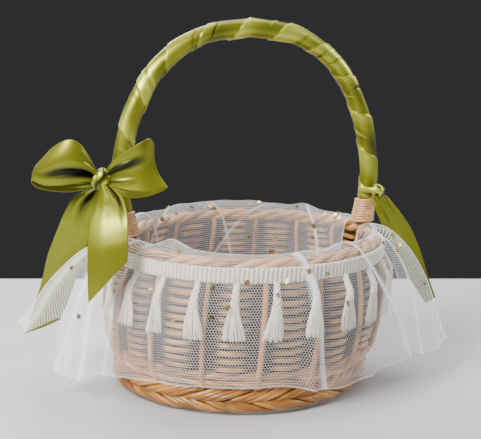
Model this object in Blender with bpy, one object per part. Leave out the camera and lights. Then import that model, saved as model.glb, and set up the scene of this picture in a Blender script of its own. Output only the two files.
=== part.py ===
"""Flower girl basket: a round willow basket with a ribbon-wrapped hoop handle, satin bows, a
spangled tulle skirt over the rim, and a braid band with swinging tassels. Metres, +Z up. The
origin is the centre of the standing plane and +X runs along the handle to its right foot."""

from math import cos, pi, radians, sin

import bmesh
import bpy
from mathutils import Matrix, Vector

GAP = 0.0003

# basket
FOOT_RADIUS = 0.1155
FOOT_HALF_WIDTH = 0.008
FOOT_HEIGHT = 0.026
WALL_LOW = 0.0268
WALL_HIGH = 0.1265
WALL_FOOT_RADIUS = 0.1180
WALL_RIM_RADIUS = 0.1166
WALL_BULGE = 0.0090
WALL_HALF = 0.0028
WALING_HEIGHT = 0.0135
WEAVER_ROWS = 6
STAKES = 16
STAKE_RADIUS = 0.0020
STAKE_OFFSET = 0.0053
BORDER_RADIUS = 0.1175
BORDER_TUBE = 0.0065
BORDER_Z = 0.1335
BASE_RADIUS = 0.1067
BASE_STICK_HEIGHT = 0.0045
BASE_WEAVE_HEIGHT = 0.0045

# the hand-made body leans to +X: shift for each metre of height between these heights
LEAN = 0.085
LEAN_LOW = 0.013
LEAN_HIGH = 0.1335

# handle: the right half of the hoop's centre line, from its foot to its crown
HOOP_LINE = (
    (0.1180, 0.1310),
    (0.1183, 0.1450),
    (0.1215, 0.1650),
    (0.1238, 0.1900),
    (0.1200, 0.2250),
    (0.1085, 0.2610),
    (0.0860, 0.2970),
    (0.0480, 0.3230),
    (0.0000, 0.3310),
)
CORE_RADIUS = 0.005
LAPPING_LOW = 0.1415
LAPPING_HIGH = 0.1655
LAPPING_RADIUS = 0.0105
PEG_RADIUS = 0.0018
PEG_LENGTH = 0.005
PEG_Z = 0.152
WRAP_LOW = 0.1660
WRAP_RADIUS = 0.0088

# ribbons face a direction turned from -Y about Z
FRONT_TURN = radians(-18.0)
CLOTH = 0.0012

# braid and tassels
BAND_INNER = 0.1263
BAND_OUTER = 0.1287
BAND_LOW = 0.1205
BAND_HIGH = 0.1330
TASSELS = 24
TASSEL_PIVOT_RADIUS = 0.1290
TASSEL_PIVOT_Z = 0.1200
# drop below the pivot, outward shift, half width, half depth of each ring of a tassel
TASSEL_RINGS = (
    (0.0002, -0.0001, 0.0022, 0.0012),
    (0.0060, 0.0036, 0.0034, 0.0021),
    (0.0160, 0.0076, 0.0036, 0.0024),
    (0.0200, 0.0082, 0.0046, 0.0026),
    (0.0340, 0.0088, 0.0074, 0.0030),
    (0.0470, 0.0088, 0.0084, 0.0031),
)

# tulle: radius and height of the cloth from the lining's hem over the rim to the skirt's hem
TULLE_LINE = (
    (0.0960, 0.045),
    (0.1010, 0.070),
    (0.1040, 0.100),
    (0.1060, 0.125),
    (0.1085, 0.1385),
    (0.1175, 0.1430),
    (0.1265, 0.1395),
    (0.1315, 0.1300),
    (0.1375, 0.1150),
    (0.1425, 0.0950),
    (0.1440, 0.0750),
    (0.1450, 0.0500),
    (0.1470, 0.0300),
)
TULLE_RIM_STEP = 5
TULLE_END_ANGLE = 8.0
TULLE_COLUMNS = 48
# how far the front skirt's hem is pulled (across, away, up) at these shares of the way round it
FRONT_HEM = (
    (0.000, (-0.0800, 0.0332, 0.0284)),
    (0.025, (-0.0758, 0.0368, 0.0195)),
    (0.055, (-0.0472, 0.0369, 0.0369)),
    (0.085, (-0.0574, 0.0261, -0.0058)),
    (0.115, (-0.0415, 0.0195, -0.0096)),
    (0.145, (-0.0294, 0.0178, 0.0004)),
    (0.180, (-0.0125, 0.0046, 0.0035)),
    (0.220, (-0.0016, -0.0022, 0.0045)),
    (0.420, (0.0000, 0.0000, 0.0060)),
    (0.610, (0.0004, -0.0030, -0.0027)),
    (0.690, (0.0113, 0.0077, 0.0011)),
    (0.765, (0.0286, 0.0137, 0.0026)),
    (0.800, (0.0162, 0.0123, 0.0064)),
    (0.870, (0.0316, 0.0045, -0.0030)),
    (0.940, (0.0466, -0.0088, -0.0012)),
    (1.000, (0.0564, -0.0221, 0.0032)),
)
BACK_HEM = (
    (0.000, (0.0060, 0.0200, 0.0000)),
    (0.250, (0.0000, 0.0000, 0.0000)),
    (0.750, (0.0000, 0.0000, 0.0000)),
    (1.000, (-0.0200, 0.0080, 0.0000)),
)

COLOURS = {
    "willow": ((0.78, 0.56, 0.36), 0.55),
    "honey_willow": ((0.62, 0.33, 0.11), 0.42),
    "cane": ((0.75, 0.45, 0.22), 0.45),
    "wood": ((0.60, 0.42, 0.25), 0.60),
    "olive_satin": ((0.32, 0.33, 0.05), 0.32),
    "tulle": ((0.86, 0.88, 0.93), 0.60),
    "cream_cotton": ((0.86, 0.83, 0.74), 0.85),
}


def clear_scene():
    for thing in list(bpy.data.objects):
        bpy.data.objects.remove(thing)


def material(name):
    found = bpy.data.materials.get(name)
    if found:
        return found
    colour, roughness = COLOURS[name]
    made = bpy.data.materials.new(name)
    made.use_nodes = True
    shader = made.node_tree.nodes["Principled BSDF"]
    shader.inputs["Base Color"].default_value = (*colour, 1.0)
    shader.inputs["Roughness"].default_value = roughness
    shader.inputs["Metallic"].default_value = 0.0
    return made


def lean(height):
    return LEAN * (min(max(height, LEAN_LOW), LEAN_HIGH) - LEAN_LOW)


def add(name, mesh, finish, place=Vector((0, 0, 0))):
    """An object of this upright mesh, leant over, with its origin at place leant over too."""
    for vert in mesh.vertices:
        vert.co.x += lean(vert.co.z)
    place = place + Vector((lean(place.z), 0, 0)) if place.length else place
    mesh.transform(Matrix.Translation(-place))
    mesh.materials.clear()
    mesh.materials.append(material(finish))
    mesh.shade_smooth()
    mesh.set_sharp_from_angle(angle=radians(50))
    made = bpy.data.objects.new(name, mesh)
    made.location = place
    bpy.context.scene.collection.objects.link(made)
    return made


def to_mesh(name, bm):
    bmesh.ops.recalc_face_normals(bm, faces=bm.faces)
    mesh = bpy.data.meshes.new(name)
    bm.to_mesh(mesh)
    bm.free()
    return mesh


def turned(name, outline, segments):
    """A closed ring: the outline of (radius, height) points spun right round Z."""
    bm = bmesh.new()
    verts = [bm.verts.new((radius, 0, height)) for radius, height in outline]
    edges = [bm.edges.new((verts[i - 1], verts[i])) for i in range(len(verts))]
    bmesh.ops.spin(
        bm, geom=verts + edges, cent=(0, 0, 0), axis=(0, 0, 1), angle=2 * pi, steps=segments, use_merge=True
    )
    bmesh.ops.remove_doubles(bm, verts=bm.verts, dist=1e-6)
    return to_mesh(name, bm)


def lofted(name, loops):
    """A closed body through loops of points, all with the same count, capped at both ends."""
    bm = bmesh.new()
    rings = []
    for loop in loops:
        verts = [bm.verts.new(point) for point in loop]
        rings.append([bm.edges.new((verts[i - 1], verts[i])) for i in range(len(verts))])
    for lower, upper in zip(rings, rings[1:]):
        bmesh.ops.bridge_loops(bm, edges=lower + upper)
    for ring in (rings[0], rings[-1]):
        bmesh.ops.contextual_create(bm, geom=ring)
    return to_mesh(name, bm)


def tube(name, points, radius, sides, caps=True):
    """A round rod along points."""
    loops = []
    for i, point in enumerate(points):
        before = points[max(i - 1, 0)]
        after = points[min(i + 1, len(points) - 1)]
        along = (after - before).normalized()
        across = Vector((0, 1, 0)) if abs(along.y) < 0.7 else Vector((1, 0, 0))
        side = along.cross(across).normalized()
        up = along.cross(side).normalized()
        loops.append(
            [
                point + radius * (cos(2 * pi * k / sides) * side + sin(2 * pi * k / sides) * up)
                for k in range(sides)
            ]
        )
    if caps:
        return lofted(name, loops)
    bm = bmesh.new()
    rings = []
    for loop in loops:
        verts = [bm.verts.new(p) for p in loop]
        rings.append([bm.edges.new((verts[i - 1], verts[i])) for i in range(len(verts))])
    for lower, upper in zip(rings, rings[1:]):
        bmesh.ops.bridge_loops(bm, edges=lower + upper)
    return to_mesh(name, bm)


def thicken(piece, thickness, offset):
    solidify = piece.modifiers.new("thickness", "SOLIDIFY")
    solidify.thickness = thickness
    solidify.offset = offset
    solidify.use_even_offset = True
    return piece


def polar(radius, angle, height):
    return Vector((radius * cos(angle), radius * sin(angle), height))


def wall_radius(height):
    """Middle of the woven wall at this height: a shallow belly between foot and rim."""
    t = (height - WALL_LOW) / (WALL_HIGH - WALL_LOW)
    straight = WALL_FOOT_RADIUS + (WALL_RIM_RADIUS - WALL_FOOT_RADIUS) * t
    return straight + WALL_BULGE * 4 * t * (1 - t)


def make_base():
    weave_low = BASE_STICK_HEIGHT + GAP
    weave_high = weave_low + BASE_WEAVE_HEIGHT
    bm = bmesh.new()
    bmesh.ops.create_cone(
        bm,
        cap_ends=True,
        segments=32,
        radius1=BASE_RADIUS,
        radius2=BASE_RADIUS,
        depth=weave_high - weave_low,
        matrix=Matrix.Translation((0, 0, (weave_low + weave_high) / 2)),
    )
    add("base_weave", to_mesh("base_weave", bm), "willow")

    arms = 8
    hub = 0.022
    half = 0.0042
    bm = bmesh.new()
    outline = []
    for arm in range(arms):
        middle = 2 * pi * (arm + 0.5) / arms
        along = Vector((cos(middle), sin(middle), 0))
        across = Vector((-sin(middle), cos(middle), 0))
        outline.append(along * hub - across * half)
        outline.append(along * BASE_RADIUS - across * half)
        outline.append(along * BASE_RADIUS + across * half)
        outline.append(along * hub + across * half)
    star = bm.faces.new([bm.verts.new(p) for p in outline])
    bmesh.ops.extrude_face_region(bm, geom=[star])
    raised = [v for v in bm.verts][len(outline):]
    bmesh.ops.translate(bm, verts=raised, vec=(0, 0, BASE_STICK_HEIGHT))
    add("base_sticks", to_mesh("base_sticks", bm), "willow")


def make_foot_and_waling():
    inner = FOOT_RADIUS - FOOT_HALF_WIDTH
    outer = FOOT_RADIUS + FOOT_HALF_WIDTH
    chamfer = 0.004
    foot = (
        (inner + chamfer, 0.0),
        (outer - chamfer, 0.0),
        (outer, chamfer),
        (outer + 0.0005, FOOT_HEIGHT / 2),
        (outer, FOOT_HEIGHT - chamfer),
        (outer - chamfer, FOOT_HEIGHT),
        (inner + chamfer, FOOT_HEIGHT),
        (inner, FOOT_HEIGHT / 2),
    )
    add("foot_border", turned("foot_border", foot, 40), "honey_willow")
    add("waling_band", wall_ring("waling_band", WALL_LOW, WALL_LOW + WALING_HEIGHT), "willow")


def wall_ring(name, low, high):
    """One ring of the wall between two heights, with softened edges."""
    soft = 0.0012
    outline = (
        (wall_radius(low) - WALL_HALF + soft, low),
        (wall_radius(low) + WALL_HALF - soft, low),
        (wall_radius((low + high) / 2) + WALL_HALF, (low + high) / 2),
        (wall_radius(high) + WALL_HALF - soft, high),
        (wall_radius(high) - WALL_HALF + soft, high),
        (wall_radius((low + high) / 2) - WALL_HALF, (low + high) / 2),
    )
    return turned(name, outline, 40)


def make_weaver_rows():
    low = WALL_LOW + WALING_HEIGHT + GAP
    pitch = (WALL_HIGH - low) / WEAVER_ROWS
    for row in range(WEAVER_ROWS):
        bottom = low + row * pitch
        name = f"weaver_row_{row + 1}"
        add(name, wall_ring(name, bottom, bottom + pitch - GAP), "willow")


def stake_points(angle):
    """A stake's line outside the weavers, leaning into the border at its top."""
    steps = 6
    low = WALL_LOW + 0.0012
    heights = [low + (WALL_HIGH - 0.008 - low) * i / steps for i in range(steps + 1)]
    points = [polar(wall_radius(h) + STAKE_OFFSET, angle, h) for h in heights]
    return points + [polar(BORDER_RADIUS + 0.0012, angle, BORDER_Z + 0.0007)]


def hidden(piece):
    piece.hide_render = True
    piece.display_type = "WIRE"
    return piece


def make_stakes_and_border():
    """The stakes rise outside the weavers and run into the rope border, one woven piece."""
    outline = [
        (BORDER_RADIUS + BORDER_TUBE * cos(2 * pi * k / 10), BORDER_Z + BORDER_TUBE * sin(2 * pi * k / 10))
        for k in range(10)
    ]
    border = add("stakes_and_top_border", turned("stakes_and_top_border", outline, 40), "willow")

    bm = bmesh.new()
    for stake in range(STAKES):
        rod = tube("stake", stake_points(2 * pi * (stake + 0.5) / STAKES), STAKE_RADIUS, 6)
        bm.from_mesh(rod)
    stakes = hidden(add("guide_stakes", to_mesh("guide_stakes", bm), "willow"))

    bm = bmesh.new()
    depth = 0.02
    foot_x, foot_z = HOOP_LINE[0]
    for side in (-1, 1):
        bmesh.ops.create_cone(
            bm,
            cap_ends=True,
            segments=14,
            radius1=CORE_RADIUS + 2 * GAP,
            radius2=CORE_RADIUS + 2 * GAP,
            depth=depth,
            matrix=Matrix.Translation((side * foot_x, 0, foot_z - GAP + depth / 2))
            @ Matrix.Rotation(radians(5), 4, "Z"),
        )
    sockets = hidden(add("guide_sockets", to_mesh("guide_sockets", bm), "wood"))

    for operand, operation in ((stakes, "UNION"), (sockets, "DIFFERENCE")):
        boolean = border.modifiers.new(operation.lower(), "BOOLEAN")
        boolean.solver = "EXACT"
        boolean.operation = operation
        boolean.object = operand


def smooth_line(points, steps):
    """Points read from a Catmull-Rom curve through the given ones."""
    found = []
    last = len(points) - 1
    for i in range(last):
        a, b, c, d = (points[max(i - 1, 0)], points[i], points[i + 1], points[min(i + 2, last)])
        for k in range(steps):
            t = k / steps
            second, third = 2 * a - 5 * b + 4 * c - d, 3 * b - a - 3 * c + d
            found.append(0.5 * (2 * b + (c - a) * t + second * t**2 + third * t**3))
    return found + [points[-1]]


def hoop_line(steps):
    """The hoop's centre line from the left foot over the crown to the right foot."""
    half = smooth_line([Vector((x, 0, z)) for x, z in HOOP_LINE], steps)
    left = [Vector((-p.x, 0, p.z)) for p in half]
    return left + half[-2::-1]


def leg_point(side, height):
    """Where the hoop's centre line is at this height above its foot."""
    line = smooth_line([Vector((x, 0, z)) for x, z in HOOP_LINE], 6)
    for low, high in zip(line, line[1:]):
        if low.z <= height <= high.z:
            point = low.lerp(high, (height - low.z) / (high.z - low.z))
            return Vector((side * point.x, 0, height))
    raise ValueError("height is above the legs")


def make_handle():
    line = hoop_line(3)
    add("handle_core", tube("handle_core", line, CORE_RADIUS, 10), "wood")

    wrapped = [leg_point(-1, WRAP_LOW)]
    wrapped += [p for p in line if p.z > WRAP_LOW + 0.006]
    wrapped += [leg_point(1, WRAP_LOW)]
    wrap = add(
        "handle_ribbon_wrap",
        tube("handle_ribbon_wrap", wrapped, CORE_RADIUS + 2 * GAP, 10, caps=False),
        "olive_satin",
    )
    thicken(wrap, WRAP_RADIUS - CORE_RADIUS - 2 * GAP, 1)

    for side, word in ((-1, "left"), (1, "right")):
        heights = (LAPPING_LOW, (LAPPING_LOW + LAPPING_HIGH) / 2, LAPPING_HIGH)
        legs = [leg_point(side, h) for h in heights]
        name = f"handle_lapping_{word}"
        lapping = add(name, tube(name, legs, CORE_RADIUS + 2 * GAP, 12, caps=False), "cane")
        thicken(lapping, LAPPING_RADIUS - CORE_RADIUS - 2 * GAP, 1)
        start = leg_point(side, PEG_Z) + Vector((0, -LAPPING_RADIUS - GAP, 0))
        name = f"handle_peg_{word}"
        ends = [start, start + Vector((0, -PEG_LENGTH, 0))]
        add(name, peg_mesh(name, ends), "cane")


def peg_mesh(name, ends):
    middle = (ends[0] + ends[1]) / 2
    bm = bmesh.new()
    bmesh.ops.create_cone(
        bm,
        cap_ends=True,
        segments=10,
        radius1=PEG_RADIUS,
        radius2=PEG_RADIUS * 0.85,
        depth=(ends[1] - ends[0]).length,
        matrix=Matrix.Translation(middle) @ Matrix.Rotation(pi / 2, 4, "X"),
    )
    return to_mesh(name, bm)


def front(x, depth, z):
    """A point given across, away from and above the basket as its bow faces."""
    return Matrix.Rotation(FRONT_TURN, 3, "Z") @ Vector((x, depth, z))


def ribbon(name, stations, steps=3, columns=4):
    """A strip of satin through stations of (one edge, other edge), as a thin closed solid."""
    first = smooth_line([Vector(a) for a, b in stations], steps)
    second = smooth_line([Vector(b) for a, b in stations], steps)
    rows = len(first)
    bm = bmesh.new()
    bmesh.ops.create_grid(bm, x_segments=columns, y_segments=rows - 1, size=0.5)
    for vert in bm.verts:
        row = round((vert.co.y + 0.5) * (rows - 1))
        across = vert.co.x + 0.5
        vert.co = first[row].lerp(second[row], across)
    mesh = to_mesh(name, bm)
    return thicken(add(name, mesh, "olive_satin"), CLOTH, 0)


def knot(name, centre, size, tilt):
    bm = bmesh.new()
    turn = Matrix.Translation(centre) @ Matrix.Rotation(FRONT_TURN, 4, "Z") @ Matrix.Rotation(tilt, 4, "Y")
    bmesh.ops.create_uvsphere(
        bm, u_segments=10, v_segments=7, radius=1, matrix=turn @ Matrix.Diagonal((*size, 1))
    )
    add(name, to_mesh(name, bm), "olive_satin")


def make_bow():
    """The bow on the left foot: two loops, a knot and two tails."""
    knot("bow_knot", front(-0.1330, -0.0552, 0.1976), (0.0088, 0.0082, 0.0100), radians(12))
    ribbon(
        "bow_loop_left",
        (
            (front(-0.1434, -0.0582, 0.2034), front(-0.1434, -0.0582, 0.1926)),
            (front(-0.1424, -0.0662, 0.2216), front(-0.1434, -0.0642, 0.1972)),
            (front(-0.1500, -0.0722, 0.2329), front(-0.1552, -0.0682, 0.1961)),
            (front(-0.1604, -0.0722, 0.2355), front(-0.1683, -0.0692, 0.1944)),
            (front(-0.1739, -0.0662, 0.2278), front(-0.1821, -0.0662, 0.1940)),
            (front(-0.1840, -0.0562, 0.2176), front(-0.1950, -0.0582, 0.1972)),
            (front(-0.1810, -0.0482, 0.2174), front(-0.1922, -0.0512, 0.1897)),
            (front(-0.1691, -0.0442, 0.2151), front(-0.1768, -0.0472, 0.1854)),
            (front(-0.1530, -0.0452, 0.2079), front(-0.1568, -0.0482, 0.1856)),
            (front(-0.1438, -0.0507, 0.2026), front(-0.1438, -0.0512, 0.1916)),
        ),
    )
    ribbon(
        "bow_loop_right",
        (
            (front(-0.1226, -0.0582, 0.2034), front(-0.1226, -0.0582, 0.1926)),
            (front(-0.1206, -0.0662, 0.2163), front(-0.1196, -0.0642, 0.1918)),
            (front(-0.1073, -0.0732, 0.2260), front(-0.1076, -0.0692, 0.1900)),
            (front(-0.0956, -0.0752, 0.2333), front(-0.0950, -0.0712, 0.1894)),
            (front(-0.0882, -0.0702, 0.2362), front(-0.0820, -0.0682, 0.1898)),
            (front(-0.0847, -0.0602, 0.2297), front(-0.0727, -0.0622, 0.1915)),
            (front(-0.0898, -0.0532, 0.2217), front(-0.0803, -0.0562, 0.1860)),
            (front(-0.1018, -0.0502, 0.2168), front(-0.0950, -0.0532, 0.1809)),
            (front(-0.1154, -0.0502, 0.2095), front(-0.1113, -0.0522, 0.1808)),
            (front(-0.1222, -0.0507, 0.2016), front(-0.1222, -0.0512, 0.1906)),
        ),
    )
    ribbon(
        "bow_tail_front",
        (
            (front(-0.1385, -0.0572, 0.1858), front(-0.1275, -0.0572, 0.1858)),
            (front(-0.1351, -0.0763, 0.1823), front(-0.1120, -0.0783, 0.1853)),
            (front(-0.1400, -0.0884, 0.1650), front(-0.1061, -0.0954, 0.1716)),
            (front(-0.1410, -0.0982, 0.1422), front(-0.1047, -0.1042, 0.1541)),
            (front(-0.1398, -0.1018, 0.1183), front(-0.1046, -0.1072, 0.1425)),
            (front(-0.1375, -0.1032, 0.0965), front(-0.1055, -0.1082, 0.1339)),
        ),
        steps=2,
    )
    ribbon(
        "bow_tail_back",
        (
            (front(-0.1510, -0.0472, 0.1851), front(-0.1435, -0.0482, 0.1846)),
            (front(-0.1593, -0.0443, 0.1803), front(-0.1382, -0.0473, 0.1753)),
            (front(-0.1692, -0.0424, 0.1652), front(-0.1423, -0.0464, 0.1604)),
            (front(-0.1756, -0.0392, 0.1515), front(-0.1467, -0.0442, 0.1432)),
            (front(-0.1871, -0.0269, 0.1244), front(-0.1559, -0.0327, 0.1162)),
            (front(-0.1959, -0.0100, 0.0885), front(-0.1654, -0.0138, 0.0827)),
            (front(-0.2108, 0.0054, 0.0366), front(-0.1773, 0.0050, 0.0508)),
        ),
        steps=2,
    )


def make_tie():
    """The tied ribbon on the right foot: a knot and two layered tails."""
    knot("tie_knot", front(0.1245, 0.0215, 0.1742), (0.0075, 0.0070, 0.0090), radians(-15))
    ribbon(
        "tie_tail_wide",
        (
            (front(0.1255, 0.0185, 0.1637), front(0.1335, 0.0185, 0.1657)),
            (front(0.1230, 0.0188, 0.1607), front(0.1391, 0.0238, 0.1637)),
            (front(0.1292, 0.0258, 0.1425), front(0.1564, 0.0308, 0.1415)),
            (front(0.1413, 0.0312, 0.1204), front(0.1713, 0.0353, 0.1144)),
            (front(0.1585, 0.0339, 0.0925), front(0.1822, 0.0360, 0.0879)),
            (front(0.1828, 0.0328, 0.0591), front(0.1925, 0.0346, 0.0648)),
        ),
        steps=2,
    )
    ribbon(
        "tie_tail_narrow",
        (
            (front(0.1180, 0.0095, 0.1682), front(0.1235, 0.0090, 0.1687)),
            (front(0.1209, 0.0098, 0.1603), front(0.1278, 0.0108, 0.1621)),
            (front(0.1239, 0.0088, 0.1527), front(0.1307, 0.0098, 0.1554)),
        ),
        steps=2,
        columns=3,
    )


def ease(value):
    value = min(max(value, 0), 1)
    return value * value * (3 - 2 * value)


def hem_pull(hem, across):
    """How far the hem is pulled at this share of the way round, eased between the given ones."""
    for (low, first), (high, second) in zip(hem, hem[1:]):
        if across <= high:
            return Vector(first).lerp(Vector(second), ease((across - low) / (high - low)))
    return Vector(hem[-1][1])


def tulle_point(across, row, first_angle, hem, lift):
    """A point of a tulle length: across from 0 to 1 round the basket, row along TULLE_LINE."""
    last_row = len(TULLE_LINE) - 1
    angle = first_angle + across * (pi - 2 * radians(TULLE_END_ANGLE))
    radius, height = TULLE_LINE[row]
    point = polar(radius, angle, height)
    down = max(row - TULLE_RIM_STEP, 0) / (last_row - TULLE_RIM_STEP)
    point += front(*(hem_pull(hem, across) * down))
    middle = ease(1 - abs(across - 0.5) * 2.6)
    crest = ease(1 - abs(row - TULLE_RIM_STEP) / 3.0)
    point.z += lift * middle * crest
    return point


def make_tulle():
    lengths = (
        ("tulle_front", -pi + radians(TULLE_END_ANGLE), FRONT_HEM, 0.0),
        ("tulle_back", radians(TULLE_END_ANGLE), BACK_HEM, 0.006),
    )
    rows = len(TULLE_LINE)
    for name, first_angle, hem, lift in lengths:
        bm = bmesh.new()
        bmesh.ops.create_grid(bm, x_segments=TULLE_COLUMNS, y_segments=rows - 1, size=0.5)
        for vert in bm.verts:
            row = round((vert.co.y + 0.5) * (rows - 1))
            vert.co = tulle_point(vert.co.x + 0.5, row, first_angle, hem, lift)
        thicken(add(name, to_mesh(name, bm), "tulle"), CLOTH, 0)


def make_trim():
    outline = (
        (BAND_INNER, BAND_LOW),
        (BAND_OUTER, BAND_LOW),
        (BAND_OUTER, BAND_HIGH),
        (BAND_INNER, BAND_HIGH),
    )
    add("trim_band", turned("trim_band", outline, 48), "cream_cotton")
    for number in range(TASSELS):
        make_tassel(number)


def make_tassel(number):
    """A tassel with its origin on its hinge, a radial line under the band's lower edge."""
    sides = 8
    angle = 2 * pi * (number + 0.5) / TASSELS
    out = Vector((cos(angle), sin(angle), 0))
    side = Vector((-sin(angle), cos(angle), 0))
    pivot = out * TASSEL_PIVOT_RADIUS + Vector((0, 0, TASSEL_PIVOT_Z))
    loops = []
    for drop, shift, half_width, half_depth in TASSEL_RINGS:
        centre = pivot + out * shift - Vector((0, 0, drop))
        loops.append(
            [
                centre
                + side * half_width * cos(2 * pi * (k + 0.5) / sides)
                + out * half_depth * sin(2 * pi * (k + 0.5) / sides)
                for k in range(sides)
            ]
        )
    name = f"tassel_{number + 1:02d}"
    add(name, lofted(name, loops), "cream_cotton", pivot)


def main():
    clear_scene()
    make_base()
    make_foot_and_waling()
    make_weaver_rows()
    make_stakes_and_border()
    make_handle()
    make_bow()
    make_tie()
    make_tulle()
    make_trim()


main()
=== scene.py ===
"""Looks of the flower girl basket: woven willow, ribbon-wrapped hoop, satin bow and tie, spangled
tulle skirt, crochet band and fringe tassels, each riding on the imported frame."""

import random
from math import asin, cos, exp, floor, pi, radians, sin

import bmesh
import bpy
from mathutils import Matrix, Vector


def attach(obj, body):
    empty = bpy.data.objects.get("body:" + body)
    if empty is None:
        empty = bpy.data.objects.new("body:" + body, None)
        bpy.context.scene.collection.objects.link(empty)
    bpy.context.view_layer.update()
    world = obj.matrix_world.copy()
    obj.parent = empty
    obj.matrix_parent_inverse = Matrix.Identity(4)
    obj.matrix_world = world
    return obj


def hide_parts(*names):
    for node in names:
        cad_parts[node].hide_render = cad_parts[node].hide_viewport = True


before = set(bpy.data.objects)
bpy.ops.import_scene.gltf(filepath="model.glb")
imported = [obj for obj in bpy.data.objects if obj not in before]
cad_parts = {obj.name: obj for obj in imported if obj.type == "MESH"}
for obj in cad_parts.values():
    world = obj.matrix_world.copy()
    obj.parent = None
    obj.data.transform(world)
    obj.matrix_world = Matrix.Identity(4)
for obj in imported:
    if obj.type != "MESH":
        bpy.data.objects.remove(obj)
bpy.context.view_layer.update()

BASKET = "basket"
UP = Vector((0, 0, 1))

# woven wall
WALL_LOW, WALL_HIGH = 0.0268, 0.1265
WALL_FOOT_RADIUS, WALL_RIM_RADIUS, WALL_BULGE = 0.1180, 0.1166, 0.0090
STAKES = 16
ROWS_PER_NODE = 2
WEAVER_ROWS = 6
WALING_TOP = 0.0403
WALING_ROWS = (0.0302, 0.0367)
ROD_THIN, ROD_THICK = 0.0021, 0.0026
# how far rods stand out of the middle of the wall: a weaver's line, a stake's, the deepest rod
WEAVER_SWING, STAKE_OUT, STAKE_IN, WEAVE_DEPTH = 0.0034, 0.0054, -0.0052, 0.0056
STAKE_FOOT = 0.024
# how thick the dark sheet is that paints the shadow between the rods
GAP_SHADOW_THICKNESS = 0.0008

# rope border, foot and base
BORDER_RADIUS, BORDER_Z = 0.1175, 0.1335
FOOT_RADIUS, FOOT_HEIGHT = 0.1155, 0.026
BASE_RADIUS = 0.1067
BASE_RINGS, BASE_STICKS, BASE_ROD = 15, 8, 0.0026

# the hand-made body leans to +X: shift for each metre of height between these heights
LEAN, LEAN_LOW, LEAN_HIGH = 0.085, 0.013, 0.1335

# hoop handle: the right half of its centre line, from its foot to its crown
HOOP_LINE = (
    (0.1180, 0.1310),
    (0.1183, 0.1450),
    (0.1215, 0.1650),
    (0.1238, 0.1900),
    (0.1200, 0.2250),
    (0.1085, 0.2610),
    (0.0860, 0.2970),
    (0.0480, 0.3230),
    (0.0000, 0.3310),
)
LAPPING_LOW, LAPPING_HIGH, LAPPING_RADIUS = 0.1408, 0.1660, 0.0108
CANE_RADIUS = 0.0015
WRAP_LOW, WRAP_RADIUS = 0.1640, 0.0088
WRAP_PITCH, WRAP_OVERLAP = 0.040, 0.0011

# the bow faces this way round from -Y
FRONT_TURN = radians(-18.0)
RIBBON_THICKNESS = 0.0004

# net: the distance between holes, and how much a thread and a hem hide
NET_PITCH = 0.0025
THREAD_COVER, HEM_COVER = 0.62, 0.65
SPANGLES, SPANGLE_SMALL, SPANGLE_LARGE, SPANGLE_THICKNESS = 58, 0.0028, 0.0040, 0.0003

# braid band and tassels
BAND_MIDDLE, BAND_LOW, BAND_HIGH = 0.1277, 0.1205, 0.1330
TASSELS = 24
TASSEL_PIVOT_RADIUS, TASSEL_PIVOT_Z, TASSEL_LENGTH = 0.1290, 0.1200, 0.047
TASSEL_NECK, TASSEL_THREADS, THREAD_RADIUS = 0.0190, 54, 0.00062

# table top: half width, far edge, near edge
TABLE_SIDE, TABLE_FAR, TABLE_NEAR = 1.2, 0.37, -1.2


# ---------------------------------------------------------------- shader helpers

# where a colour Mix node keeps its two colours and its result
MIX_A, MIX_B, MIX_RESULT = 6, 7, 2


class Value:
    """A socket that shader maths can be written on."""

    def __init__(self, tree, socket):
        self.tree = tree
        self.socket = socket

    def maths(self, operation, *others):
        inputs = dict(enumerate((self, *others)))
        made = node(self.tree, "ShaderNodeMath", {"operation": operation}, inputs)
        return Value(self.tree, made.outputs[0])

    def __add__(self, other):
        return self.maths("ADD", other)

    def __radd__(self, other):
        return self.maths("ADD", other)

    def __sub__(self, other):
        return self.maths("SUBTRACT", other)

    def __rsub__(self, other):
        return (self * -1.0).maths("ADD", other)

    def __mul__(self, other):
        return self.maths("MULTIPLY", other)

    def __rmul__(self, other):
        return self.maths("MULTIPLY", other)

    def ranged(self, low, high, to_low, to_high):
        """to_low below low, to_high above high, eased between."""
        limits = {"From Min": low, "From Max": high, "To Min": to_low, "To Max": to_high}
        smooth = {"interpolation_type": "SMOOTHSTEP"}
        made = node(self.tree, "ShaderNodeMapRange", smooth, {"Value": self, **limits})
        return Value(self.tree, made.outputs["Result"])

    def between(self, low, high):
        """0 below low, 1 above high, eased between."""
        return self.ranged(low, high, 0.0, 1.0)


def plug(tree, slot, value):
    """Links a socket to a value of shader maths, or sets its number, vector or colour."""
    if isinstance(value, Value):
        tree.links.new(value.socket, slot)
    elif slot.type == "RGBA":
        slot.default_value = (*value, 1.0)
    else:
        slot.default_value = value


def node(tree, kind, settings=None, inputs=None):
    """A shader node of this type: its settings first, then its inputs by name or number."""
    made = tree.nodes.new(kind)
    for name, value in (settings or {}).items():
        setattr(made, name, value)
    for label, value in (inputs or {}).items():
        plug(tree, made.inputs[label], value)
    return made


def mix_colours(tree, factor, first, second):
    inputs = {"Factor": factor, MIX_A: first, MIX_B: second}
    made = node(tree, "ShaderNodeMix", {"data_type": "RGBA"}, inputs)
    return Value(tree, made.outputs[MIX_RESULT])


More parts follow.
